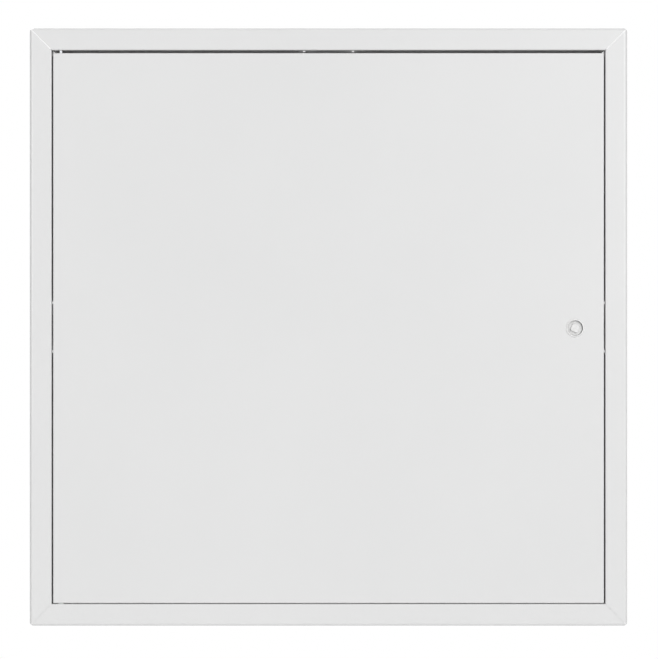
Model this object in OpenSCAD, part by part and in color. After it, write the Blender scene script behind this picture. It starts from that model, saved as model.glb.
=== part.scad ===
// Hinged access panel for a hole in a ceiling or a wall: a folded steel frame, a pan door on two
// pivots at the left, a sprung upper pivot and a square drive lock whose cam turns behind the frame.
// Shown upright: X to the right, Z up, the face looks to -Y and y = 0 is the wall's surface.

/* [Opening] */
// width of the hole in the wall
opening_w = 600; // [300:1:900]
// height of the hole in the wall
opening_h = 600; // [300:1:900]
// space between the frame and the hole on each side
fit_gap = 2.5; // [2:0.5:8]
// thickness of the board around the hole
board_t = 12.5; // [9.5:0.5:15]

/* [Sheet metal] */
// steel sheet of the frame and the door
sheet = 1; // [0.8:0.1:1.6]
// inside radius of the folds
fold_r = 0.3; // [0.2:0.1:0.8]
// steel sheet of the brackets, angles and stiffener
bracket_t = 1.5; // [1:0.1:2]
// inside radius of the folds in the hinge brackets
bracket_r = 0.8; // [0.3:0.1:1.5]

/* [Frame] */
// flange past the edge of the hole
flange_cover = 20; // [12:1:40]
// flange face to the wall's surface
stand_off = 4; // [3.5:0.1:8]
// inside radius of the flange's rolled edge
edge_r = 2.4; // [0.4:0.1:5]
// flat between the rolled edge and the corner's centre
corner_flat = 0.6; // [0.4:0.1:6]
// flange face to the back of the frame
frame_depth = 32; // [30:1:60]
// width of the stop lip inside the wall
stop_lip = 16; // [14:1:25]
// open mitre at the two upper corners
mitre_upper = 0.7; // [0.1:0.05:0.8]
// open mitre at the two lower corners
mitre_lower = 0.2; // [0.1:0.05:0.8]
// leg of the corner angles
angle_leg = 30; // [15:1:60]

/* [Fixing tabs] */
// width of the lanced tab in each wall
tab_w = 50; // [30:1:80]
// length of the tab from its root to its free end
tab_len = 15; // [13:0.5:16]
// how far the tab stands out of the wall
tab_set = 1.5; // [0.5:0.1:2]
// length of the slope at the tab's root
tab_rise = 3.5; // [2.5:0.1:5]
// back of the board to the tab's root
tab_behind = 10.5; // [8:0.5:14]
// slit on each side of the tab
tab_slit = 2.5; // [2:0.5:6]
// slit past the free end of the tab
tab_end_slit = 2; // [1:0.1:3]
// diameter of the two screw holes
screw_d = 4.5; // [3:0.1:6]
// distance between the two screw holes
screw_pitch = 36; // [15:1:60]

/* [Seals] */
// width of the foam strips
seal_w = 12; // [8:0.5:14]
// thickness of the foam strips
seal_t = 5.5; // [4:0.5:8]
// wall to the foam strip
seal_inset = 3; // [1:0.5:4]

/* [Door] */
// gap between door and frame at left and right
side_gap = 1.6; // [1:0.1:4]
// gap above the door
top_gap = 3.2; // [2:0.1:6]
// gap below the door
bottom_gap = 0.8; // [0.8:0.1:3]
// width of the pan's inner lips
pan_lip = 12; // [8:0.5:20]
// plan radius of the door's corners
door_corner = 1.2; // [0.5:0.1:3]
// slit between two lips at each corner of the pan
lip_slit = 0.8; // [0.4:0.1:2]
// crown width of the stiffener
hat_w = 30; // [15:1:80]
// flange width of the stiffener
hat_flange = 15; // [8:1:30]
// depth of the stiffener
hat_h = 15; // [8:0.5:18]
// inside radius of the stiffener's folds
hat_r = 1; // [0.5:0.1:2]
// stiffener's end to the pan's lip
hat_clear = 4; // [1:0.5:20]

/* [Pivots] */
// diameter of the pivot pins
pin_d = 4; // [3:0.1:5]
// door's left edge to the pivot axis
pivot_inset = 8; // [7:0.5:14]
// pin past the outside of the frame's wall
pin_proud = 2; // [1:0.1:2.5]
// wall of the plastic bush around the pin
bush_wall = 0.6; // [0.4:0.1:1]
// width of the bush's collar past its wall
bush_lip = 0.6; // [0.3:0.1:1]
// working length of the spring
spring_len = 26; // [18:1:50]
// diameter of the spring's wire
spring_wire = 0.7; // [0.5:0.05:0.9]
// turns of the spring
spring_turns = 8; // [5:1:14]
// height of the collar on the pin
collar_h = 1.6; // [1:0.1:3]
// straight shank between the bracket and the tail's bend
tail_free = 3; // [1:0.5:8]
// length of the pin's bent tail
tail_len = 20; // [12:1:40]
// hinge brackets behind the pivot axis
bracket_behind = 9; // [6:0.5:12]
// height of the bottom hinge bracket
low_bracket_h = 24; // [15:1:40]
// bottom hinge bracket's arm past the top bracket's legs
low_bracket_arm = 8; // [0:1:20]

/* [Lock] */
// lock axis to the edge of the stop lip
lock_off = 16.5; // [15:0.5:30]
// diameter of the lock's rim
rim_d = 19.6; // [19.4:0.1:26]
// height of the rim on the door
rim_h = 0.8; // [0.4:0.1:2]
// diameter of the threaded body
body_d = 18; // [17.6:0.1:19]
// diameter of the round recess
recess_d = 16.2; // [15:0.1:16.6]
// depth of the recess around the drive
recess_depth = 3.2; // [2:0.1:6]
// width of the square drive
drive_w = 8; // [6:0.1:9]
// end of the square drive below the rim's face
drive_low = 0.4; // [0:0.1:1]
// turn of the square drive as the lock stands
drive_turn = 25; // [0:1:89]
// thickness of the barrel's round head
head_h = 2.2; // [1.5:0.1:4]
// diameter of the barrel
barrel_d = 12; // [9:0.1:13]
// width of the barrel's square tang in the cam
tang_w = 7; // [6:0.1:8]
// width across the flats of the lock nut
nut_af = 24; // [22:0.5:30]
// thickness of the lock nut
nut_h = 4.5; // [3:0.1:8]
// thickness of the lock's two washers
washer_h = 1; // [0.6:0.1:1.6]
// thickness of the cam
cam_t = 2.5; // [2:0.1:4]
// width of the cam
cam_w = 14; // [10:0.5:16]
// hold of the cam behind the stop lip
cam_hold = 11; // [6:0.5:13]
// thread of the cam screw
cam_screw_d = 5; // [4:0.5:5]
// length of the cam screw under its head
cam_screw_len = 8; // [6:0.5:12]
// diameter of the washer under the cam screw
cam_washer_d = 11; // [10:0.5:14]

/* [Hidden] */
$fn = 72;
// clearances: press fit, turning fit, fixed turned parts, loose fit, gap between moving faces
press = 0.02;
run = 0.05;
snug = 0.05;
play = 0.4;
gap = 0.3;
// shortest flat beside a fold, and how far a cutting shape passes what it cuts
flat = 0.5;
over = 1;

// outside radii of the folds, the rolled edge no larger than the flange stands off
fold_out = fold_r + sheet;
edge_in = min(edge_r, stand_off - sheet - flat / 2);
edge_out = edge_in + sheet;
corner_rad = edge_out + corner_flat;

// frame box, wall inside, flange and depths
box_w = opening_w - 2 * fit_gap;
box_h = opening_h - 2 * fit_gap;
inner_w = box_w - 2 * sheet;
inner_h = box_h - 2 * sheet;
flange_w = sheet + fit_gap + flange_cover;
front_y = -stand_off;
back_y = front_y + frame_depth;
lip_y = back_y - sheet;

// fixing tabs: the root lies deep, the free end looks to the flange and grips the board's edge
tab_root = min(board_t + tab_behind, lip_y - fold_out - tab_slit / 2 - flat);
tab_front = tab_root - tab_len;
tab_out = min(tab_set, fit_gap - gap);
screw_y = tab_root - tab_rise - screw_d / 2 - 1.5 * flat;

// door size and place
door_w = inner_w - 2 * side_gap;
door_h = inner_h - top_gap - bottom_gap;
door_z = (bottom_gap - top_gap) / 2;
door_top = door_z + door_h / 2;
door_bottom = door_z - door_h / 2;
seal_y = lip_y - seal_t;
door_back = seal_y - gap;
face_in = front_y + sheet;

// pivot axis, set back just far enough for the bush behind the frame's fold
pin_r = pin_d / 2;
bush_r = pin_r + run + bush_wall;
collar_r = bush_r + bush_lip;
pivot_x = pivot_inset - door_w / 2;
pivot_y = front_y + fold_out + collar_r + gap / 2;
spring_r = pivot_y - face_in - 2 * snug - gap;

// the pan's back corner at the pivots swings this deep, so the seal there is thinner
swing_r = norm([pivot_inset - fold_out, door_back - fold_out - pivot_y]) + fold_out;
hinge_seal_y = pivot_y + swing_r + gap;
swing_reach = sqrt(max(0, pow(swing_r, 2) - pow(seal_y - pivot_y, 2)));
strip_end = seal_inset + seal_w + gap;
strip_start = max(strip_end, side_gap + pivot_inset + swing_reach + gap);

// top pivot levels, from the bracket's upper leg down to the pin's tail
pin_tip = box_h / 2 + pin_proud;
leg_top = door_top - sheet;
collar_z = leg_top - bracket_t - gap - collar_h;
leg_low = collar_z - spring_len - bracket_t;
tail_r = 1.5 * pin_d;
tail_z = leg_low - gap - tail_r - tail_free;
leg_w = spring_r + bracket_t;

// lock axis and its levels behind the door's face
lock_x = inner_w / 2 - stop_lip - lock_off;
lock_z = door_z;
head_front = recess_depth - rim_h;
body_len = door_back - front_y + play;
cam_front = body_len + gap;
cam_rise = back_y - front_y + play - cam_front;
cam_end = lock_off + cam_hold;
cam_bend_out = sqrt(pow(lock_off, 2) - pow(cam_w / 2, 2)) - gap - cam_t / 4;
cam_slope = 0.85;
cam_bend_in = cam_bend_out - cam_rise * cam_slope;

steel_white = [0.86, 0.86, 0.86];
zinc = [0.7, 0.71, 0.73];
nickel = [0.8, 0.8, 0.8];
nylon = [0.92, 0.91, 0.87];
foam = [0.5, 0.5, 0.51];

// folded sheet: the outline of a strip of thickness t along a path of middle line points,
// with inside fold radius r[i] at point i
function way(path, i) = (path[i + 1] - path[i]) / norm(path[i + 1] - path[i]);
function left(d) = [-d[1], d[0]];
function turn(path, i) = let (a = way(path, i - 1), b = way(path, i))
  atan2(a[0] * b[1] - a[1] * b[0], a * b);
function trim(path, i, t, r) = i == 0 || i == len(path) - 1
  ? 0
  : (r[i] + t / 2) * tan(abs(turn(path, i)) / 2);
function ray(a) = [cos(a), sin(a)];

module folded(path, t, r) {
  last = len(path) - 1;
  for (i = [0 : last - 1]) {
    d = way(path, i);
    cut = trim(path, i, t, r);
    run_len = norm(path[i + 1] - path[i]) - cut - trim(path, i + 1, t, r);
    translate(path[i] + cut * d)
      rotate(atan2(d[1], d[0]))
        translate([0, -t / 2])
          square([run_len, t]);
  }
  for (i = [1 : last - 1]) {
    d = way(path, i - 1);
    bend = turn(path, i);
    side = sign(bend);
    centre = path[i] - trim(path, i, t, r) * d + side * (r[i] + t / 2) * left(d);
    start = atan2(-side * left(d)[1], -side * left(d)[0]);
    far = 2 * (r[i] + t);
    translate(centre)
      intersection() {
        difference() {
          circle(r = r[i] + t);
          circle(r = r[i]);
        }
        polygon([[0, 0], far * ray(start), 1.5 * far * ray(start + bend / 2), far * ray(start + bend)]);
      }
  }
}

// an outline drawn as (out, depth), run along a side: X along, Y out, Z depth
module along(length) {
  rotate([90, 0, 90])
    translate([0, 0, -length / 2])
      linear_extrude(length)
        children();
}

// keeps what lies between the two mitres of a side whose inside corners are 2 * half apart
module mitred(half, low, high, cut_a = 0, cut_b = 0) {
  a = cut_a / sqrt(2);
  b = cut_b / sqrt(2);
  intersection() {
    children();
    translate([0, 0, -frame_depth])
      linear_extrude(2 * frame_depth)
        polygon([[a - half - low, low], [half + low - b, low], [half + high - b, high],
          [a - half - high, high]]);
  }
}

// puts a side's local frame on one side of the panel: turn 0 bottom, -90 right, 180 top, 90 left
module on_side(angle, half) {
  rotate([0, angle, 0])
    translate([0, 0, -half])
      rotate([-90, 0, 0])
        children();
}

module frame_outline() {
  mid = sheet / 2;
  folded([[-stop_lip, back_y - mid], [mid, back_y - mid], [mid, front_y + mid],
    [flange_w - mid, front_y + mid], [flange_w - mid, 0]], sheet, [0, fold_r, fold_r, edge_in, 0]);
}

// the flange's edge from the corner's centre outwards
module edge_outline() {
  mid = sheet / 2;
  folded([[0, front_y + mid], [corner_rad - mid, front_y + mid], [corner_rad - mid, 0]], sheet,
    [0, edge_in, 0]);
}

// an outline drawn as (along, depth), cut through the wall and the space outside it
module through_wall() {
  translate([0, sheet + fit_gap, 0])
    rotate([90, 0, 0])
      linear_extrude(2 * (sheet + fit_gap))
        children();
}

// window in the wall for the tab, with round ends of its slits beside the root
module tab_window() {
  open_w = tab_w + 2 * tab_slit;
  translate([-open_w / 2, tab_front - tab_end_slit])
    square([open_w, tab_len + tab_end_slit]);
  for (s = [-1, 1])
    translate([s * (tab_w + tab_slit) / 2, tab_root])
      circle(d = tab_slit);
}

// the tab from the side, as (out, depth): set out of the wall by two folds at its root
module tab_outline() {
  k = sheet / 2 * tan(atan2(tab_out, tab_rise) / 2);
  near = tab_root - flat;
  far = near - tab_rise;
  deep = tab_root + over;
  polygon([[0, deep], [sheet, deep], [sheet, near + k], [sheet + tab_out, far + k],
    [sheet + tab_out, tab_front], [tab_out, tab_front], [tab_out, far - k], [0, near - k]]);
}

// the tab from outside, as (along, depth): round corners at its free end and two screw holes
module tab_face() {
  nose = 3;
  difference() {
    union() {
      translate([-tab_w / 2, tab_front + nose])
        square([tab_w, tab_len + 2 * over - nose]);
      translate([nose - tab_w / 2, tab_front - over])
        square([tab_w - 2 * nose, tab_len]);
      for (s = [-1, 1])
        translate([s * (tab_w / 2 - nose), tab_front + nose])
          circle(r = nose);
    }
    for (s = [-1, 1])
      translate([s * screw_pitch / 2, screw_y])
        circle(d = screw_d);
  }
}

module frame_member(inside, cut_a, cut_b) {
  half = inside / 2;
  straight = half + flange_w - corner_rad;
  difference() {
    mitred(half, -stop_lip - over, flange_w + over, cut_a, cut_b) {
      along(2 * straight)
        frame_outline();
      for (s = [-1, 1])
        translate([s * straight, flange_w - corner_rad, 0])
          rotate([0, 0, s > 0 ? 0 : 90])
            rotate_extrude(angle = 90)
              edge_outline();
    }
    through_wall()
      tab_window();
  }
  intersection() {
    along(tab_w)
      tab_outline();
    through_wall()
      tab_face();
  }
}

// hole for a pin through the sheets near the level z
module pivot_hole(r, z) {
  reach = 4 * bracket_t;
  translate([pivot_x, pivot_y, z - reach])
    cylinder(r = r, h = 2 * reach);
}

module frame_top() {
  color(steel_white)
    difference() {
      on_side(180, inner_h / 2)
        frame_member(inner_w, mitre_upper, mitre_upper);
      pivot_hole(bush_r + snug, box_h / 2);
    }
}

module frame_bottom() {
  color(steel_white)
    difference() {
      on_side(0, inner_h / 2)
        frame_member(inner_w, mitre_lower, mitre_lower);
      pivot_hole(pin_r + snug, -box_h / 2);
    }
}

module frame_left() {
  color(steel_white)
    on_side(90, inner_w / 2)
      frame_member(inner_h, mitre_upper, mitre_lower);
}

module frame_right() {
  color(steel_white)
    on_side(-90, inner_w / 2)
      frame_member(inner_h, mitre_lower, mitre_upper);
}

// angle outside the wall's corner at the side signs sx and sz, behind the pivots
module corner_angle(sx, sz) {
  margin = 1;
  inside = 0.1;
  low = pivot_y + collar_r + margin;
  high = back_y - fold_out - margin;
  mid = bracket_t / 2;
  color(steel_white)
    scale([sx, 1, sz])
      translate([box_w / 2, high, box_h / 2])
        rotate([90, 0, 0])
          linear_extrude(high - low)
            folded([[mid, -angle_leg], [mid, mid], [-angle_leg, mid]], bracket_t, [0, inside, 0]);
}

module seal_side(sign_x, front) {
  edge = inner_w / 2 - seal_inset;
  color(foam)
    translate([sign_x < 0 ? -edge : edge - seal_w, front, seal_inset - inner_h / 2])
      cube([seal_w, lip_y - front, inner_h - 2 * seal_inset]);
}

module seal_across(sign_z) {
  edge = inner_h / 2 - seal_inset;
  color(foam)
    translate([strip_start - inner_w / 2, seal_y, sign_z < 0 ? -edge : edge - seal_w])
      cube([inner_w - strip_start - strip_end, seal_t, seal_w]);
}

module seal_top() {
  seal_across(1);
}

module seal_bottom() {
  seal_across(-1);
}

module seal_left() {
  seal_side(-1, hinge_seal_y);
}

module seal_right() {
  seal_side(1, seal_y);
}

// a turned part around the pivot axis, drawn as (radius, height)
module on_pivot(z) {
  translate([pivot_x, pivot_y, z])
    rotate_extrude()
      children();
}

module top_pivot_bush() {
  bore = pin_r + run;
  rim = 0.8;
  color(nylon)
    on_pivot(inner_h / 2)
      polygon([[bore, 0], [bush_r, 0], [bush_r, sheet], [collar_r, sheet], [collar_r, sheet + rim],
        [bore, sheet + rim]]);
}

module bottom_pivot_pin() {
  head = 1;
  ease = 0.5;
  tip = 0.6;
  top = door_bottom + sheet + bracket_t + pin_d + box_h / 2;
  color(zinc)
    on_pivot(-box_h / 2)
      polygon([[0, -head], [collar_r - ease, -head], [collar_r, ease - head], [collar_r, 0], [pin_r, 0],
        [pin_r, top - tip], [pin_r - tip, top], [0, top]]);
}

module bottom_pivot_washer() {
  seat = 0.2;
  color(nylon)
    on_pivot(-inner_h / 2)
      translate([pin_r + run, 0])
        square([collar_r - pin_r - run, bottom_gap - seat]);
}

// the pan's edge from its outer face inwards: part of the face, the return and the lip
module pan_outline() {
  mid = sheet / 2;
  folded([[-pan_lip, front_y + mid], [-mid, front_y + mid], [-mid, door_back - mid],
    [-pan_lip, door_back - mid]], sheet, [0, fold_r, fold_r, 0]);
}

module pan_side(length, angle, half) {
  on_side(angle, half)
    mitred(length / 2, -pan_lip - over, over)
      along(length + 4 * over)
        pan_outline();
}

module rounded(w, h, r) {
  square([w - 2 * r, h], center = true);
  square([w, h - 2 * r], center = true);
  for (x = [-1, 1], y = [-1, 1])
    translate([x * (w / 2 - r), y * (h / 2 - r)])
      circle(r = r);
}

// stands an outline drawn as (x, z) in the panel's plane, from depth y to y + d
module in_plane(y, d) {
  translate([0, y + d, 0])
    rotate([90, 0, 0])
      linear_extrude(d)
        children();
}

module door_pan() {
  land = 2.6 * sheet;
  slit_len = 2 * (norm([pan_lip, pan_lip]) - land);
  color(steel_white)
    difference() {
      translate([0, 0, door_z])
        intersection() {
          union() {
            for (a = [0, 180])
              pan_side(door_w, a, door_h / 2);
            for (a = [90, -90])
              pan_side(door_h, a, door_w / 2);
            in_plane(front_y, sheet)
              square([door_w - 2 * pan_lip, door_h - 2 * pan_lip], center = true);
          }
          in_plane(front_y - over, door_back - front_y + 2 * over)
            rounded(door_w, door_h, door_corner);
        }
      for (x = [-1, 1], z = [-1, 1])
        translate([x * (door_w / 2 - pan_lip), door_back, door_z + z * (door_h / 2 - pan_lip)])
          rotate([0, -45 * x * z, 0])
            cube([slit_len, 4 * sheet, lip_slit], center = true);
      pivot_hole(pin_r + run, door_top);
      pivot_hole(pin_r + run, door_bottom);
      on_lock(-over)
        cylinder(d = body_d + 4 * snug, h = sheet + 2 * over);
    }
}

module door_stiffener() {
  mid = bracket_t / 2;
  y0 = face_in + mid;
  y1 = face_in + hat_h - mid;
  x0 = hat_w / 2;
  length = door_h - 2 * (pan_lip + hat_clear);
  color(steel_white)
    translate([0, 0, door_z - length / 2])
      linear_extrude(length)
        folded([[-x0 - hat_flange, y0], [-x0, y0], [-x0, y1], [x0, y1], [x0, y0],
          [x0 + hat_flange, y0]], bracket_t, [0, hat_r, hat_r, hat_r, hat_r, 0]);
}

// a bracket folded from sheet, drawn as (x, z) and run over the pivot from the face backwards
module hinge_bracket() {
  in_plane(face_in + fold_r + 2 * snug, pivot_y - face_in + bracket_behind)
    children();
}

module top_hinge_bracket() {
  mid = bracket_t / 2;
  x0 = sheet - door_w / 2 + mid;
  x1 = pivot_x + leg_w;
  color(zinc)
    difference() {
      hinge_bracket()
        folded([[x1, leg_top - mid], [x0, leg_top - mid], [x0, leg_low + mid], [x1, leg_low + mid]],
          bracket_t, [0, bracket_r, bracket_r, 0]);
      pivot_hole(pin_r + run, leg_top);
      pivot_hole(pin_r + run, leg_low);
    }
}

module bottom_hinge_bracket() {
  mid = bracket_t / 2;
  x0 = sheet - door_w / 2 + mid;
  x1 = pivot_x + leg_w + low_bracket_arm;
  z0 = door_bottom + sheet + mid;
  color(zinc)
    difference() {
      hinge_bracket()
        folded([[x0, z0 + low_bracket_h], [x0, z0], [x1, z0]], bracket_t, [0, bracket_r, 0]);
      pivot_hole(pin_r + run, door_bottom);
    }
}

// sprung pin: round tip, straight shank, quarter bend and a tail to pull it down by
module top_pivot_pin() {
  tip = 0.8;
  color(zinc)
    translate([pivot_x, pivot_y, 0]) {
      rotate_extrude()
        polygon([[0, tail_z + tail_r], [pin_r, tail_z + tail_r], [pin_r, pin_tip - tip],
          [pin_r - tip, pin_tip], [0, pin_tip]]);
      translate([tail_r, 0, tail_z + tail_r])
        rotate([90, 0, 0])
          rotate([0, 0, 180])
            rotate_extrude(angle = 90)
              translate([tail_r, 0])
                circle(r = pin_r);
      translate([tail_r, 0, tail_z])
        rotate([0, 90, 0])
          rotate_extrude()
            polygon([[0, 0], [pin_r, 0], [pin_r, tail_len - tail_r - tip],
              [pin_r - tip, tail_len - tail_r], [0, tail_len - tail_r]]);
    }
}

module pin_collar() {
  ease = 0.3;
  bore = pin_r + press;
  color(zinc)
    on_pivot(collar_z)
      polygon([[bore, 0], [spring_r - ease, 0], [spring_r, ease], [spring_r, collar_h - ease],
        [spring_r - ease, collar_h], [bore, collar_h]]);
}

// coil with one closed turn at each end, between two levels
module coil(radius, wire, turns, z0, z1) {
  steps = 16;
  sides = 6;
  n = turns * steps;
  low = z0 + wire / 2;
  rise = z1 - z0 - wire;
  pitch = (rise - 2 * wire) / (turns - 2);
  function level(t) = t < 1
    ? low + wire * t
    : t > turns - 1
      ? low + rise - wire * (turns - t)
      : low + wire + pitch * (t - 1);
  points = [for (i = [0 : n], j = [0 : sides - 1])
    let (a = 360 * i / steps, b = 360 * j / sides, r = radius + wire / 2 * cos(b))
      [r * cos(a), r * sin(a), level(i / steps) + wire / 2 * sin(b)]];
  skin = [for (i = [0 : n - 1], j = [0 : sides - 1])
    let (k = (j + 1) % sides)
      [i * sides + j, i * sides + k, (i + 1) * sides + k, (i + 1) * sides + j]];
  first = [for (j = [sides - 1 : -1 : 0]) j];
  end = [for (j = [0 : sides - 1]) n * sides + j];
  polyhedron(points, concat(skin, [first, end]), convexity = 10);
}

module pin_spring() {
  color(zinc)
    translate([pivot_x, pivot_y, 0])
      coil(spring_r - spring_wire / 2 - 2 * snug, spring_wire, spring_turns, leg_low + bracket_t + snug,
        collar_z - snug);
}

// the lock's axis: Z runs into the wall from the door's face, Y hangs down
module on_lock(z) {
  translate([lock_x, front_y, lock_z])
    rotate([-90, 0, 0])
      translate([0, 0, z])
        children();
}

module lock_housing() {
  ease = 0.35;
  chamfer = 0.8;
  rim_r = rim_d / 2;
  body_r = body_d / 2;
  hole_r = recess_d / 2;
  bore = barrel_d / 2 + run;
  seat = head_front + head_h + 2 * snug;
  color(nickel)
    on_lock(0)
      rotate_extrude()
        polygon([[hole_r + ease / 2, -rim_h], [rim_r - ease, -rim_h], [rim_r, ease - rim_h], [rim_r, 0],
          [body_r, 0], [body_r, body_len - chamfer], [body_r - chamfer, body_len], [bore, body_len],
          [bore, seat], [hole_r, seat], [hole_r, ease / 2 - rim_h]]);
}

module lock_washer() {
  color(zinc)
    on_lock(sheet)
      difference() {
        cylinder(r = nut_af / 2, h = washer_h);
        translate([0, 0, -over])
          cylinder(r = body_d / 2 + snug, h = washer_h + 2 * over);
      }
}

// a six sided body whose corners are turned off at the free end
module turned_hex(af, h) {
  r = af / 2 / cos(30);
  far = r + over;
  fall = 0.5;
  intersection() {
    cylinder(r = r, h = h, $fn = 6);
    rotate_extrude()
      polygon([[0, 0], [far, 0], [far, h - (far - af / 2) * fall], [af / 2, h], [0, h]]);
  }
}

module lock_nut() {
  color(zinc)
    on_lock(sheet + washer_h)
      difference() {
        turned_hex(nut_af, nut_h);
        translate([0, 0, -over])
          cylinder(r = body_d / 2 + snug, h = nut_h + 2 * over);
      }
}

// barrel: square drive in the recess, round head and shaft, square tang for the cam
module lock_barrel() {
  head_r = recess_d / 2 - gap;
  post = recess_depth - drive_low;
  top = head_front - post;
  base = head_front + over;
  tang = cam_front + cam_t - 2 * snug;
  corner_r = drive_w * 0.66;
  ease_in = 0.8;
  ease_down = 0.5;
  color(nickel)
    on_lock(0)
      difference() {
        union() {
          rotate_extrude()
            polygon([[0, head_front], [head_r, head_front], [head_r, head_front + head_h],
              [barrel_d / 2, head_front + head_h], [barrel_d / 2, cam_front], [0, cam_front]]);
          intersection() {
            rotate([0, 0, drive_turn])
              translate([-drive_w / 2, -drive_w / 2, top])
                cube([drive_w, drive_w, base - top]);
            rotate_extrude()
              polygon([[0, top], [corner_r - ease_in, top], [corner_r, top + ease_down],
                [corner_r, base], [0, base]]);
          }
          translate([-tang_w / 2, -tang_w / 2, cam_front - over])
            cube([tang_w, tang_w, tang - cam_front + over]);
        }
        translate([0, 0, tang - cam_screw_len - over])
          cylinder(d = cam_screw_d, h = cam_screw_len + 2 * over);
      }
}

// cam: flat on the barrel, set back past the stop lip by two folds, round at both ends
module lock_cam() {
  head = body_d / 2;
  tip = cam_w / 2;
  hole = tang_w + 4 * snug;
  near = cam_front + cam_t;
  far = cam_front + cam_rise;
  k = cam_t / 2 * tan(atan2(cam_rise, cam_bend_out - cam_bend_in) / 2);
  color(zinc)
    on_lock(0)
      difference() {
        intersection() {
          along(2 * head)
            polygon([[-head - over, cam_front], [cam_bend_in + k, cam_front], [cam_bend_out + k, far],
              [cam_end + over, far], [cam_end + over, far + cam_t], [cam_bend_out - k, far + cam_t],
              [cam_bend_in - k, near], [-head - over, near]]);
          translate([0, 0, cam_front - over])
            linear_extrude(cam_rise + cam_t + 2 * over) {
              circle(r = head);
              translate([-cam_w / 2, 0])
                square([cam_w, cam_end - tip]);
              translate([0, cam_end - tip])
                circle(r = tip);
            }
        }
        translate([-hole / 2, -hole / 2, cam_front - over])
          cube([hole, hole, cam_t + 2 * over]);
      }
}

module cam_washer() {
  color(zinc)
    on_lock(cam_front + cam_t)
      difference() {
        cylinder(d = cam_washer_d, h = washer_h);
        translate([0, 0, -over])
          cylinder(d = cam_screw_d + play, h = washer_h + 2 * over);
      }
}

module cam_screw() {
  head_af = 1.6 * cam_screw_d;
  head = 0.7 * cam_screw_d;
  seat = cam_front + cam_t + washer_h;
  color(zinc)
    on_lock(seat) {
      turned_hex(head_af, head);
      translate([0, 0, -cam_screw_len])
        cylinder(d = cam_screw_d - 4 * snug, h = cam_screw_len + over);
    }
}

frame_top();
frame_bottom();
frame_left();
frame_right();
corner_angle(-1, 1);  // corner_angle_top_left
corner_angle(1, 1);  // corner_angle_top_right
corner_angle(-1, -1);  // corner_angle_bottom_left
corner_angle(1, -1);  // corner_angle_bottom_right
seal_top();
seal_bottom();
seal_left();
seal_right();
top_pivot_bush();
bottom_pivot_pin();
bottom_pivot_washer();
door_pan();
door_stiffener();
top_hinge_bracket();
bottom_hinge_bracket();
lock_housing();
lock_washer();
lock_nut();
lock_barrel();
lock_cam();
cam_washer();
cam_screw();
top_pivot_pin();
pin_collar();
pin_spring();
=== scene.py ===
"""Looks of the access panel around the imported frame: materials, soft and fine pieces, light and camera."""

import math

import bpy
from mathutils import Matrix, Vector, noise


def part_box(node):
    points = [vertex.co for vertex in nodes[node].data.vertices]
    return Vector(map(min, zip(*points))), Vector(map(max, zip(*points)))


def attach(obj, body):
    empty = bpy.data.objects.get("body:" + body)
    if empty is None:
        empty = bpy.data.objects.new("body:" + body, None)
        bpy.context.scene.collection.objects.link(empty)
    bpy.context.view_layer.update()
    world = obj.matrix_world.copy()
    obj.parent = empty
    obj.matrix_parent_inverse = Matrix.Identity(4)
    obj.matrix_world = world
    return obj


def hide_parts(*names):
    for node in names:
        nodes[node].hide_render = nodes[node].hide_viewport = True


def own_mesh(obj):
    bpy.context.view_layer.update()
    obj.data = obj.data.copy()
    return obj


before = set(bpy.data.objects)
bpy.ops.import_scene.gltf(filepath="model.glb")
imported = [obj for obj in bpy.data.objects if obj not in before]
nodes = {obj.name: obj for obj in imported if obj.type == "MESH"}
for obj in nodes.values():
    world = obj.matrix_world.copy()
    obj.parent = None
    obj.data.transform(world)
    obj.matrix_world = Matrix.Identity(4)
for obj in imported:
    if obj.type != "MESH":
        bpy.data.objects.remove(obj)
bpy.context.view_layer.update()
scene = bpy.context.scene

MM = 0.001


def corners(node):
    """Lowest and highest corner of a CAD node at rest, in millimetres."""
    return [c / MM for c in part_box(node)]


def middle(node):
    """Centre of a CAD node's box at rest, in millimetres."""
    return sum(corners(node), Vector()) / 2


# Places taken from the solids, in millimetres
FRONT_Y = corners("frame_top")[0].y
PIVOT = middle("bottom_pivot_pin")
LOCK = middle("lock_washer")

# Sheet of the frame and the door, sheet of the brackets and the stiffener, radius of the lock's recess
SHEET = 1.0
BRACKET_SHEET = 1.5
RECESS_R = 8.1

# Edges of the added pieces that turn by more degrees than this stay sharp
CREASE = 40

# The photograph's frame in pixels, the panel's centre in it, and metres per pixel at the flange's face
IMAGE_W, IMAGE_H = 658, 659
CENTRE_X, CENTRE_Y = 328.5, 327.0
PIXEL = 0.0010704
CAMERA_DISTANCE = 3.0


# Materials

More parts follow.
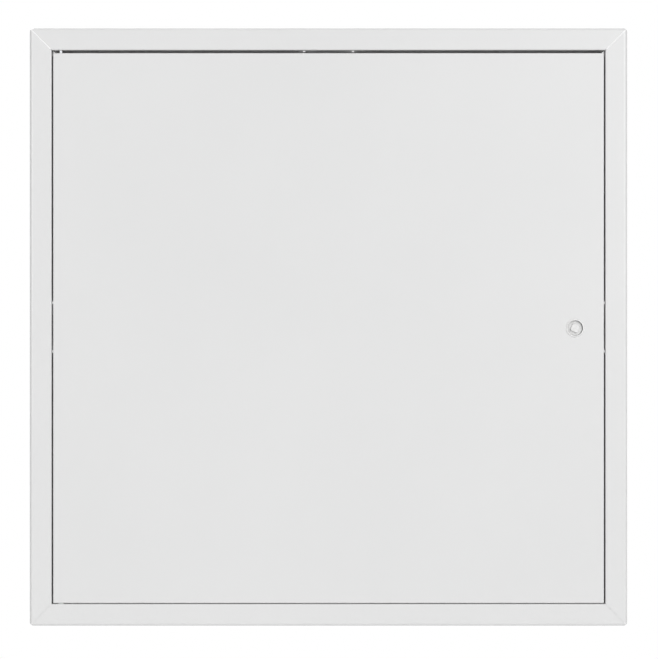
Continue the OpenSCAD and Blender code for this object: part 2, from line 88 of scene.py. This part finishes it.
class Nodes:
    """A material's node tree with short ways to add and join nodes."""

    def __init__(self, name):
        self.material = bpy.data.materials.new(name)
        self.material.use_nodes = True
        self.tree = self.material.node_tree
        self.shader = self.tree.nodes["Principled BSDF"]

    def add(self, kind, **settings):
        node = self.tree.nodes.new(kind)
        for key, value in settings.items():
            setattr(node, key, value)
        return node

    def link(self, start, end):
        self.tree.links.new(start, end)

    def set(self, **values):
        """Plain values for the shader, with underscores for the spaces in their names."""
        for key, value in values.items():
            self.shader.inputs[key.replace("_", " ")].default_value = value

    def to(self, key, output):
        """Joins an output to the shader."""
        self.link(output, self.shader.inputs[key])

    def place(self, scale=(1, 1, 1), offset=(0, 0, 0)):
        """Rest position in metres, stretched and moved."""
        coords = self.add("ShaderNodeTexCoord")
        mapping = self.add("ShaderNodeMapping")
        mapping.inputs["Location"].default_value = offset
        mapping.inputs["Scale"].default_value = scale
        self.link(coords.outputs["Object"], mapping.inputs["Vector"])
        return mapping.outputs["Vector"]

    def noise(self, scale, detail, vector=None):
        node = self.add("ShaderNodeTexNoise")
        node.inputs["Scale"].default_value = scale
        node.inputs["Detail"].default_value = detail
        self.link(vector or self.place(), node.inputs["Vector"])
        return node.outputs["Fac"]

    def span(self, value, low, high, start=0.3, end=0.7):
        """A number from low to high while the value goes from start to end."""
        node = self.add("ShaderNodeMapRange")
        for key, number in zip(("From Min", "From Max", "To Min", "To Max"), (start, end, low, high)):
            node.inputs[key].default_value = number
        self.link(value, node.inputs["Value"])
        return node.outputs["Result"]

    def ramp(self, value, low, high, start=0.3, end=0.7):
        """A colour from low to high while the value goes from start to end."""
        node = self.add("ShaderNodeValToRGB")
        for element, place, colour in zip(node.color_ramp.elements, (start, end), (low, high)):
            element.position = place
            element.color = (*colour, 1)
        self.link(value, node.inputs["Fac"])
        return node.outputs["Color"]

    def math(self, operation, *values):
        node = self.add("ShaderNodeMath", operation=operation)
        for socket, value in zip(node.inputs, values):
            if isinstance(value, (int, float)):
                socket.default_value = value
            else:
                self.link(value, socket)
        return node.outputs[0]

    def blend(self, factor, colour, other):
        """A colour that turns into another where the factor is 1."""
        factor_in, colour_in, other_in, colour_out = 0, 6, 7, 2
        node = self.add("ShaderNodeMix", data_type="RGBA")
        self.link(factor, node.inputs[factor_in])
        self.link(colour, node.inputs[colour_in])
        node.inputs[other_in].default_value = (*other, 1)
        return node.outputs[colour_out]

    def bump(self, height, distance, strength, after=None):
        node = self.add("ShaderNodeBump")
        node.inputs["Distance"].default_value = distance
        node.inputs["Strength"].default_value = strength
        self.link(height, node.inputs["Height"])
        if after:
            self.link(after, node.inputs["Normal"])
        return node.outputs["Normal"]


def powder_coat():
    m = Nodes("powder_coat")
    m.set(IOR=1.5)
    m.to("Base Color", m.ramp(m.noise(5, 3), (0.79, 0.792, 0.792), (0.83, 0.831, 0.83), 0, 1))
    m.to("Roughness", m.span(m.noise(9, 2), 0.25, 0.27, 0, 1))
    peel = m.bump(m.noise(700, 1), distance=0.00002, strength=0.12)
    m.to("Normal", m.bump(m.noise(2600, 1), distance=0.00001, strength=0.1, after=peel))
    return m.material


def zinc_steel():
    m = Nodes("zinc_steel")
    m.set(Metallic=1.0)
    m.to("Base Color", m.ramp(m.noise(180, 4), (0.44, 0.45, 0.47), (0.56, 0.56, 0.55)))
    grain = m.noise(300, 3, m.place(scale=(1, 1, 9)))
    m.to("Roughness", m.span(grain, 0.38, 0.55))
    m.to("Normal", m.bump(grain, distance=0.00003, strength=0.3))
    return m.material


def painted_recess_shade(m, centred):
    """1 on the wall of the lock's recess, behind the rim, where painted shade darkens the colour to stand in
    for the recess's shadow.
    """
    tolerance, above_face = 0.1, 0.4
    split = m.add("ShaderNodeSeparateXYZ")
    m.link(centred, split.inputs[0])
    x, y, z = split.outputs
    squares = m.math("ADD", m.math("MULTIPLY", x, x), m.math("MULTIPLY", z, z))
    on_wall = m.math("COMPARE", m.math("SQRT", squares), RECESS_R * MM, tolerance * MM)
    behind = m.math("GREATER_THAN", y, (FRONT_Y - above_face) * MM)
    return m.math("MULTIPLY", on_wall, behind)


def nickel():
    m = Nodes("nickel")
    m.set(Metallic=0.25)
    centred = m.place(offset=(-LOCK.x * MM, 0, -LOCK.z * MM))
    plate = m.ramp(m.noise(240, 3), (0.63, 0.63, 0.625), (0.71, 0.71, 0.705))
    # Painted shade: the recess wall is coloured near black so the shadow in the recess looks deeper
    m.to("Base Color", m.blend(painted_recess_shade(m, centred), plate, (0.1, 0.1, 0.1)))
    m.to("Roughness", m.span(m.noise(500, 3), 0.38, 0.5))
    rings = m.add("ShaderNodeTexWave", wave_type="RINGS", rings_direction="Y")
    rings.inputs["Scale"].default_value = 420
    rings.inputs["Distortion"].default_value = 0.4
    m.link(centred, rings.inputs["Vector"])
    m.to("Normal", m.bump(rings.outputs["Fac"], distance=0.00001, strength=0.25))
    return m.material


def nylon():
    m = Nodes("nylon")
    m.set(Subsurface_Weight=0.15, Subsurface_Scale=0.002)
    m.to("Base Color", m.ramp(m.noise(120, 2), (0.76, 0.75, 0.7), (0.83, 0.82, 0.77)))
    m.to("Roughness", m.span(m.noise(400, 2), 0.42, 0.55))
    m.to("Normal", m.bump(m.noise(1500, 2), distance=0.00002, strength=0.3))
    return m.material


def foam():
    m = Nodes("foam")
    m.to("Base Color", m.ramp(m.noise(700, 3), (0.4, 0.4, 0.41), (0.52, 0.52, 0.53)))
    m.to("Roughness", m.span(m.noise(900, 2), 0.85, 1.0))
    cells = m.add("ShaderNodeTexVoronoi")
    cells.inputs["Scale"].default_value = 1100
    m.link(m.place(), cells.inputs["Vector"])
    m.to("Normal", m.bump(cells.outputs["Distance"], distance=0.0002, strength=0.6))
    return m.material


FINISH = {make.__name__: make() for make in (powder_coat, zinc_steel, nickel, nylon, foam)}
SLOT_OF = {
    "powder_coat": ("frame_top", "frame_bottom", "frame_left", "frame_right", "corner_angle_top_left",
                    "corner_angle_top_right", "corner_angle_bottom_left", "corner_angle_bottom_right",
                    "door_pan", "door_stiffener"),
    "zinc_steel": ("bottom_pivot_pin", "top_hinge_bracket", "bottom_hinge_bracket", "lock_washer",
                   "lock_nut", "lock_cam", "cam_washer", "cam_screw", "top_pivot_pin", "pin_collar",
                   "pin_spring"),
    "nickel": ("lock_housing", "lock_barrel"),
    "nylon": ("top_pivot_bush", "bottom_pivot_washer"),
    "foam": ("seal_top", "seal_bottom", "seal_left", "seal_right"),
}
for slot, names in SLOT_OF.items():
    for name in names:
        nodes[name].data.materials.clear()
        nodes[name].data.materials.append(FINISH[slot])


# Pieces

def piece(name, verts, faces, slot, body, stands_for=()):
    """A mesh in millimetres that takes its finish from a slot and rides on a body."""
    mesh = bpy.data.meshes.new(name)
    mesh.from_pydata([Vector(v) * MM for v in verts], [], faces)
    mesh.validate()
    mesh.shade_smooth()
    mesh.set_sharp_from_angle(angle=math.radians(CREASE))
    mesh.materials.append(FINISH[slot])
    obj = bpy.data.objects.new(name, mesh)
    scene.collection.objects.link(obj)
    if stands_for:
        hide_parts(*stands_for)
    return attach(obj, body)


def tube(rings):
    """Vertices and faces of a closed skin over equal rings, with both ends filled."""
    sides, last = len(rings[0]), len(rings) - 1
    verts = [v for ring in rings for v in ring]
    faces = []
    for i in range(last):
        here, there = i * sides, (i + 1) * sides
        for j in range(sides):
            k = (j + 1) % sides
            faces.append((here + j, here + k, there + k, there + j))
    faces.append(tuple(reversed(range(sides))))
    faces.append(tuple(range(last * sides, len(verts))))
    return verts, faces


def circle(sides):
    """Angles of equal steps round a circle, in radians."""
    return [math.tau * j / sides for j in range(sides)]


def arc(x, y, radius, start, end, steps):
    """Points on a round about (x, y), from one angle in degrees to another."""
    angles = [math.radians(start + (end - start) * i / steps) for i in range(steps + 1)]
    return [(x + radius * math.cos(a), y + radius * math.sin(a)) for a in angles]


def foam_outline(width, height):
    """Half round shoulders and a crowned top, as (across, up), from the glued base's left corner."""
    shoulder, shoulder_steps = 1.3, 6
    crown, crown_steps = 0.35, 6
    top = height - crown
    side = [(0, 0), (0, (top - shoulder) / 2)]
    side += arc(shoulder, top - shoulder, shoulder, 180, 90, shoulder_steps)
    half = width / 2 - shoulder
    crowned = []
    for i in range(1, crown_steps):
        u = 2 * i / crown_steps - 1
        crowned.append((width / 2 + u * half, top + crown * (1 - u * u)))
    return side + crowned + [(width - x, y) for x, y in reversed(side)]


def foam_strip(node, along):
    """A strip of closed cell foam in the space of its solid: soft skin, cut ends, glued back."""
    spacing, first_cut, soft_end = 4, 0.25, 0.9
    end_inset, end_sag = 0.4, 0.25
    ripple_depth, ripple_across, ripple_along = 0.12, 0.5, 0.11
    low, high = corners(node)
    across = 2 - along
    width, depth = high[across] - low[across], high.y - low.y
    outline = foam_outline(width, depth)
    length = high[along] - low[along]
    count = round(length / spacing)
    ends = [0, first_cut, soft_end]
    cuts = ends + [length * i / count for i in range(1, count)] + [length - t for t in reversed(ends)]
    rings = []
    for t in cuts:
        inset = end_inset * max(0, 1 - min(t, length - t) / soft_end) ** 2
        ring = []
        for u, up in outline:
            wave = noise.noise(Vector((u * ripple_across, up * ripple_across, t * ripple_along)))
            ripple = ripple_depth * wave - ripple_depth
            lift = up / depth
            point = Vector()
            point[along] = low[along] + t
            point[across] = low[across] + width / 2 + (u - width / 2) * (1 - 2 * inset / width * lift)
            point.y = high.y - up * (1 - inset * end_sag / depth) - ripple * lift
            ring.append(point)
        rings.append(ring if along == 2 else ring[::-1])
    obj = piece(f"foam_{node}", *tube(rings), "foam", "frame", [node])


def coil_spring():
    """The pivot's spring in round wire with one closed turn at each end."""
    steps, sides = 40, 12
    wire, turns, travel = 0.7, 8, 7.0
    bottom, top = corners("pin_spring")
    radius = (top.x - bottom.x - wire) / 2
    low = bottom.z + wire / 2
    rise = top.z - bottom.z - wire
    pitch = (rise - 2 * wire) / (turns - 2)
    rings = []
    for i in range(turns * steps + 1):
        t = i / steps
        if t < 1:
            z = low + wire * t
        elif t > turns - 1:
            z = low + rise - wire * (turns - t)
        else:
            z = low + wire + pitch * (t - 1)
        a = math.tau * t
        ring = []
        for b in circle(sides):
            r = radius + wire / 2 * math.cos(b)
            ring.append((PIVOT.x + r * math.cos(a), PIVOT.y + r * math.sin(a), z + wire / 2 * math.sin(b)))
        rings.append(ring)
    obj = piece("coil_spring", *tube(rings), "zinc_steel", "door", ["pin_spring"])
    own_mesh(obj)


def threaded_housing():
    """The lock's housing with its rim, its recess and a fine thread on the body behind the door."""
    sides, rings_per_turn = 96, 8
    pitch, depth, run_out = 1.5, 0.65, 0.8
    groove_top, groove_slope = 1.4, 4
    low, high = corners("lock_housing")
    rim_r, rim_h, body_end = (high.x - low.x) / 2, FRONT_Y - low.y, high.y - FRONT_Y
    body_r, shaft_r, floor_z = 9.0, 6.05, 4.7
    inner_round, outer_round, chamfer, break_edge = 0.18, 0.4, 0.8, 0.2
    thread_from, thread_to = 1.6, body_end - 1.2

    def thread(z, a):
        """Radius at a depth and an angle, with grooves that run out at both ends."""
        phase = (z / pitch - a / math.tau) % 1
        fade = max(0, min(1, (z - thread_from) / run_out, (thread_to - z) / run_out))
        return body_r - depth * fade * min(1, max(0, groove_top - groove_slope * abs(phase - 0.5)))

    front = arc(RECESS_R + inner_round, inner_round - rim_h, inner_round, 180, 270, 3)
    front += arc(rim_r - outer_round, outer_round - rim_h, outer_round, 270, 360, 4)
    front += [(rim_r, 0), (body_r, 0)]
    steps = round((thread_to - thread_from) / pitch * rings_per_turn)
    threaded = [thread_from + (thread_to - thread_from) * i / steps for i in range(steps + 1)]
    back = [(body_r, body_end - chamfer), (body_r - chamfer, body_end), (shaft_r + break_edge, body_end),
            (shaft_r, body_end - break_edge), (shaft_r, floor_z + break_edge),
            (shaft_r + break_edge, floor_z), (RECESS_R, floor_z)]
    angles = circle(sides)
    rows = [[(r, z)] * sides for r, z in front]
    rows += [[(thread(z, a), z) for a in angles] for z in threaded]
    rows += [[(r, z)] * sides for r, z in back]
    verts, faces = [], []
    for i, row in enumerate(rows):
        here, there = i * sides, (i + 1) % len(rows) * sides
        for j, (r, z) in enumerate(row):
            k = (j + 1) % sides
            verts.append((LOCK.x + r * math.cos(angles[j]), FRONT_Y + z, LOCK.z + r * math.sin(angles[j])))
            faces.append((here + j, there + j, there + k, here + k))
    piece("threaded_lock_housing", verts, faces, "nickel", "door", ["lock_housing"])


def weld_marks(name, spots, slot, body, radius=2.6):
    """Shallow rings left by spot welding, one at each (point, outward direction)."""
    sides, steps = 28, 4
    dish, ridge, sink, flat = 0.03, 0.1, 0.06, 0.55
    humps = [i / steps for i in range(steps + 1)]
    profile = [(flat + (1 - flat) * u, dish + ridge * math.sin(math.pi * u)) for u in humps]
    profile.append((1, -sink))
    last = len(profile) - 1
    verts, faces = [], []
    for point, out in spots:
        turn = Vector(out).to_track_quat("Z", "Y").to_matrix()
        ring = len(verts) + 1
        verts.append(Vector(point) + turn @ Vector((0, 0, dish)))
        for share, lift in profile:
            for a in circle(sides):
                offset = Vector((radius * share * math.cos(a), radius * share * math.sin(a), lift))
                verts.append(Vector(point) + turn @ offset)
        for j in range(sides):
            k = (j + 1) % sides
            faces.append((ring - 1, ring + j, ring + k))
            for i in range(last):
                here, there = ring + i * sides, ring + (i + 1) * sides
                faces.append((here + j, there + j, there + k, here + k))
        faces.append(tuple(ring + last * sides + j for j in reversed(range(sides))))
    piece(name, verts, faces, slot, body)


def stiffener_spots():
    """A row of welds on each flange of the stiffener."""
    count, row_x, end_gap = 9, 24, 18
    low, high = corners("door_stiffener")
    step = (high.z - low.z - 2 * end_gap) / (count - 1)
    back = FRONT_Y + SHEET + BRACKET_SHEET
    return [((x, back, low.z + end_gap + step * i), (0, 1, 0)) for x in (-row_x, row_x) for i in range(count)]


def angle_spots():
    """Two welds on each leg of the four corner angles."""
    spots = []
    for end, sz in (("top", 1), ("bottom", -1)):
        for side, sx in (("left", -1), ("right", 1)):
            low, high = corners(f"corner_angle_{end}_{side}")
            deep = (low.y + high.y) / 2
            far_x = high.x if sx > 0 else low.x
            far_z = high.z if sz > 0 else low.z
            for reach in (11, 22):
                spots.append(((far_x, deep, far_z - sz * reach), (sx, 0, 0)))
                spots.append(((far_x - sx * reach, deep, far_z), (0, 0, sz)))
    return spots


def bracket_spots():
    """Two welds on each hinge bracket, at shares of its height."""
    from_back = 3.2
    spots = []
    for name, shares in (("top_hinge_bracket", (0.3, 0.7)), ("bottom_hinge_bracket", (0.45, 0.8))):
        low, high = corners(name)
        for share in shares:
            z = low.z + share * (high.z - low.z)
            spots.append(((low.x + BRACKET_SHEET, high.y - from_back, z), (1, 0, 0)))
    return spots


def seam_bead(name, sx, sz):
    """A rippled weld bead behind a closed mitre, on the flange's back from the wall to the rolled edge."""
    sides, count = 10, 60
    wall_out, edge_in, sink = 298.2, 316.2, 0.05
    half, height, taper, thinnest = 1.3, 0.6, 8, 0.02
    ripples, ripple_share, rough_share, rough_scale = 11, 0.1, 0.08, 9
    corner, out = Vector((sx, 0, sz)), Vector((0, 1, 0))
    side = out.cross(corner.normalized())
    rings = []
    for i in range(count + 1):
        t = i / count
        rough = noise.noise(Vector((sx, sz, rough_scale * t)))
        ripple = 1 + ripple_share * math.sin(math.tau * t * ripples) + rough_share * rough
        fat = half * ripple * math.sqrt(max(thinnest, 1 - abs(2 * t - 1) ** taper))
        base = corner * (wall_out + (edge_in - wall_out) * t) + out * (FRONT_Y + SHEET - sink)
        rings.append([base + side * fat * across + out * height * fat * up
                      for across, up in arc(0, 0, 1, 0, 180, sides)])
    piece(name, *tube(rings), "powder_coat", "frame")


for node, along in (("seal_top", 0), ("seal_bottom", 0), ("seal_left", 2), ("seal_right", 2)):
    foam_strip(node, along)
coil_spring()
threaded_housing()
seam_bead("seam_bottom_left", -1, -1)
seam_bead("seam_bottom_right", 1, -1)
weld_marks("stiffener_welds", stiffener_spots(), "powder_coat", "door")
weld_marks("corner_angle_welds", angle_spots(), "powder_coat", "frame")
weld_marks("hinge_bracket_welds", bracket_spots(), "zinc_steel", "door", radius=2.2)


# Floor, light and camera

def background_rays(tree):
    """1 for rays that show the background: camera, glossy and transmission rays."""
    path = tree.nodes.new("ShaderNodeLightPath")
    total = path.outputs["Is Camera Ray"]
    for kind in ("Is Glossy Ray", "Is Transmission Ray"):
        most = tree.nodes.new("ShaderNodeMath")
        most.operation = "MAXIMUM"
        tree.links.new(total, most.inputs[0])
        tree.links.new(path.outputs[kind], most.inputs[1])
        total = most.outputs[0]
    return total


def white_world(level):
    """White where it is seen, softer where it lights the object."""
    world = bpy.data.worlds.new("studio")
    world.use_nodes = True
    scene.world = world
    tree = world.node_tree
    tree.nodes.clear()
    seen = tree.nodes.new("ShaderNodeBackground")
    light = tree.nodes.new("ShaderNodeBackground")
    for shader, strength in ((seen, 1.0), (light, level)):
        shader.inputs["Color"].default_value = (1, 1, 1, 1)
        shader.inputs["Strength"].default_value = strength
    mix = tree.nodes.new("ShaderNodeMixShader")
    out = tree.nodes.new("ShaderNodeOutputWorld")
    tree.links.new(background_rays(tree), mix.inputs["Fac"])
    tree.links.new(light.outputs[0], mix.inputs[1])
    tree.links.new(seen.outputs[0], mix.inputs[2])
    tree.links.new(mix.outputs[0], out.inputs["Surface"])


def floor_finish(radius):
    """Pale grey that turns into the white background on the way to the rim."""
    fade_from, fade_to = 0.1, 0.7
    m = Nodes("floor")
    m.set(Base_Color=(0.88, 0.88, 0.88, 1), Roughness=0.9, Specular_IOR_Level=0.2)
    length = m.add("ShaderNodeVectorMath", operation="LENGTH")
    m.link(m.place(), length.inputs[0])
    fade = m.add("ShaderNodeMapRange", interpolation_type="SMOOTHSTEP")
    fade.inputs["From Min"].default_value = fade_from * radius
    fade.inputs["From Max"].default_value = fade_to * radius
    m.link(length.outputs["Value"], fade.inputs["Value"])
    white = m.add("ShaderNodeEmission")
    mix = m.add("ShaderNodeMixShader")
    m.link(m.math("MULTIPLY", fade.outputs["Result"], background_rays(m.tree)), mix.inputs["Fac"])
    m.link(m.shader.outputs[0], mix.inputs[1])
    m.link(white.outputs[0], mix.inputs[2])
    m.link(mix.outputs[0], m.tree.nodes["Material Output"].inputs["Surface"])
    return m.material


def floor(z, radius):
    """A round floor below the panel."""
    sides = 96
    mesh = bpy.data.meshes.new("floor")
    ring = [(radius * math.cos(a), radius * math.sin(a), z) for a in circle(sides)]
    mesh.from_pydata(ring, [], [tuple(range(sides))])
    mesh.materials.append(floor_finish(radius))
    obj = bpy.data.objects.new("floor", mesh)
    scene.collection.objects.link(obj)


def soft_light(name, place, width, height, watts):
    """A softbox that faces the panel's centre."""
    data = bpy.data.lights.new(name, "AREA")
    data.shape = "RECTANGLE"
    data.size, data.size_y = width, height
    data.energy = watts
    lamp = bpy.data.objects.new(name, data)
    lamp.location = place
    lamp.rotation_euler = (-Vector(place)).to_track_quat("-Z", "Y").to_euler()
    scene.collection.objects.link(lamp)


white_world(level=0.25)
floor(z=-0.95, radius=4.5)

# Two large boxes light the front, two strips draw the lines on its rolled edges, two boxes light the rest
soft_light("key", (3.2, -7.3, 2.8), width=3.8, height=3.8, watts=240)
soft_light("fill", (-3.4, -7.2, 2.2), width=3.0, height=3.0, watts=70)
soft_light("right_strip", (2.9, -7.8, 0.9), width=0.5, height=1.7, watts=70)
soft_light("left_strip", (-2.9, -7.8, 0.25), width=0.5, height=1.5, watts=50)
soft_light("back", (-3.0, 7.5, 3.6), width=3.0, height=3.0, watts=360)
soft_light("top", (0.0, 0.6, 6.0), width=3.5, height=3.5, watts=50)

camera_data = bpy.data.cameras.new("camera")
camera_data.lens = camera_data.sensor_width * CAMERA_DISTANCE / (max(IMAGE_W, IMAGE_H) * PIXEL)
camera = bpy.data.objects.new("camera", camera_data)
camera_x = (IMAGE_W / 2 - CENTRE_X) * PIXEL
camera_z = (CENTRE_Y - IMAGE_H / 2) * PIXEL
camera.location = (camera_x, FRONT_Y * MM - CAMERA_DISTANCE, camera_z)
camera.rotation_euler = (math.pi / 2, 0, 0)
scene.collection.objects.link(camera)
scene.camera = camera
scene.view_settings.view_transform = "Standard"
